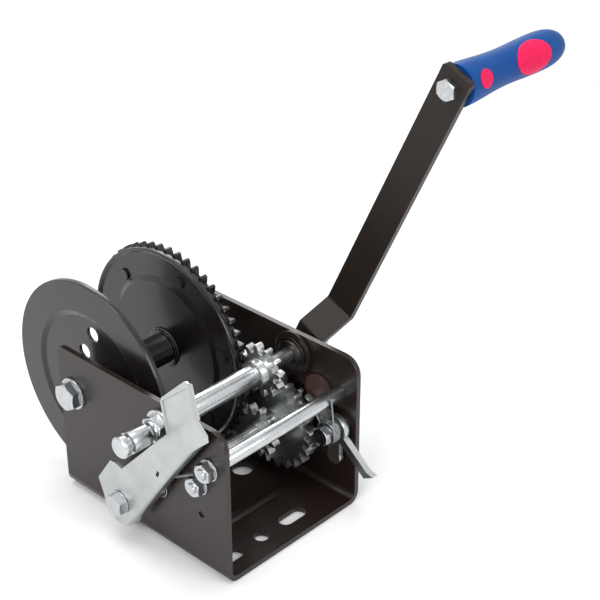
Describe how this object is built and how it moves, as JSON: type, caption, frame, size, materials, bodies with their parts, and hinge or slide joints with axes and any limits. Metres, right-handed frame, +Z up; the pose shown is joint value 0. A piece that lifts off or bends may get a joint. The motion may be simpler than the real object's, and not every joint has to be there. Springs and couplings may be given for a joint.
{
  "type": "boat trailer winch",
  "caption": "Hand winch: folded steel U frame, flanged rope drum on spur gears, sliding crank shaft for two speeds, ratchet pawl, shift lock lever and crank with a blue grip.",
  "frame": {"origin": "centre of the underside of the folded frame's base", "axes": "+X along the shafts toward the crank side, -Y the open front with the hand levers, +Z up from the base"},
  "size_m": [0.312, 0.2929, 0.3393],
  "materials": {
    "frame_coat": "gloss black-brown powder coat",
    "drum_coat": "gloss black-grey powder coat",
    "crank_coat": "satin dark grey-brown powder coat",
    "grip_plastic": "moulded blue plastic",
    "pad_rubber": "soft pink-red insert",
    "bush_bronze": "sintered bronze",
    "spring_steel": "drawn spring wire",
    "gear_steel": "bright zinc plate on cut teeth",
    "bright_steel": "bright zinc plate on turned steel",
    "zinc_plate": "bright zinc plate"
  },
  "bodies": {
    "frame": {"base_frame": "frame_coat", "drum_bolt": "zinc_plate", "drum_washers": "zinc_plate", "drum_nut": "zinc_plate", "drum_spacers": "bright_steel", "intermediate_bushes": "bush_bronze", "bearing_plate": "frame_coat", "tie_bolt": "zinc_plate", "tie_tube": "bright_steel", "tie_nut": "zinc_plate", "tie_washers": "zinc_plate", "pawl_bolt": "zinc_plate", "pawl_nut": "zinc_plate", "pawl_washer": "zinc_plate", "pawl_sleeve": "bright_steel", "pawl_guard": "frame_coat", "pawl_spring": "spring_steel", "lever_pivot": "zinc_plate", "pivot_washer": "zinc_plate", "anchor_bolt": "zinc_plate", "anchor_nut": "zinc_plate", "anchor_washer": "zinc_plate", "lever_spring": "spring_steel"},
    "drum": {"drum_hub": "drum_coat", "drum_bushes": "bush_bronze", "left_flange": "drum_coat", "right_flange": "drum_coat", "drum_gear": "drum_coat", "drum_rivets": "drum_coat"},
    "intermediate": {"intermediate_shaft": "bright_steel", "intermediate_clips": "zinc_plate", "intermediate_pinion": "gear_steel", "intermediate_gear": "gear_steel", "ratchet_wheel": "gear_steel"},
    "bushes": {"left_bush": "bright_steel", "right_bush": "bright_steel", "bush_clips": "zinc_plate"},
    "drive": {"drive_shaft": "bright_steel", "drive_pinion": "gear_steel", "pinion_pin": "zinc_plate", "crank_arm": "crank_coat", "crank_washer": "zinc_plate", "crank_nut": "zinc_plate", "grip_bolt": "zinc_plate", "grip_washer": "zinc_plate", "grip_nut": "zinc_plate"},
    "grip": {"grip": "grip_plastic", "grip_pads": "pad_rubber", "grip_cap": "grip_plastic"},
    "lever": {"shift_lever": "zinc_plate"},
    "pawl": {"pawl": "zinc_plate"}
  },
  "joints": [
    {"name": "drum_spin", "type": "hinge", "parent": "frame", "child": "drum", "pos_m": [0, 0.0695, 0.0865], "axis": [1, 0, 0], "continuous": true},
    {"name": "intermediate_spin", "type": "hinge", "parent": "frame", "child": "intermediate", "pos_m": [0, -0.01921, 0.04981], "axis": [1, 0, 0], "continuous": true},
    {"name": "crank_spin", "type": "hinge", "parent": "frame", "child": "bushes", "pos_m": [0, -0.02498, 0.1035], "axis": [1, 0, 0], "continuous": true},
    {"name": "shaft_shift", "type": "slide", "parent": "bushes", "child": "drive", "axis": [1, 0, 0], "range_m": [0, 0.018]},
    {"name": "grip_spin", "type": "hinge", "parent": "drive", "child": "grip", "pos_m": [0.15, -0.12768, 0.32373], "axis": [1, 0, 0], "continuous": true},
    {"name": "lock_lever", "type": "hinge", "parent": "frame", "child": "lever", "pos_m": [-0.08, 0.007, 0.031], "axis": [-1, 0, 0], "range_deg": [-1.5, 2.6], "deforming": ["lever_spring"]},
    {"name": "pawl_swing", "type": "hinge", "parent": "frame", "child": "pawl", "pos_m": [0.056, -0.071, 0.062], "axis": [1, 0, 0], "range_deg": [-9.6, 9.6], "deforming": ["pawl_spring"]}
  ],
  "couplings": [
    {"joint": "intermediate_spin", "follows": "drum_spin", "ratio": -4.3333},
    {"joint": "crank_spin", "follows": "drum_spin", "ratio": -4.3333}
  ]
}
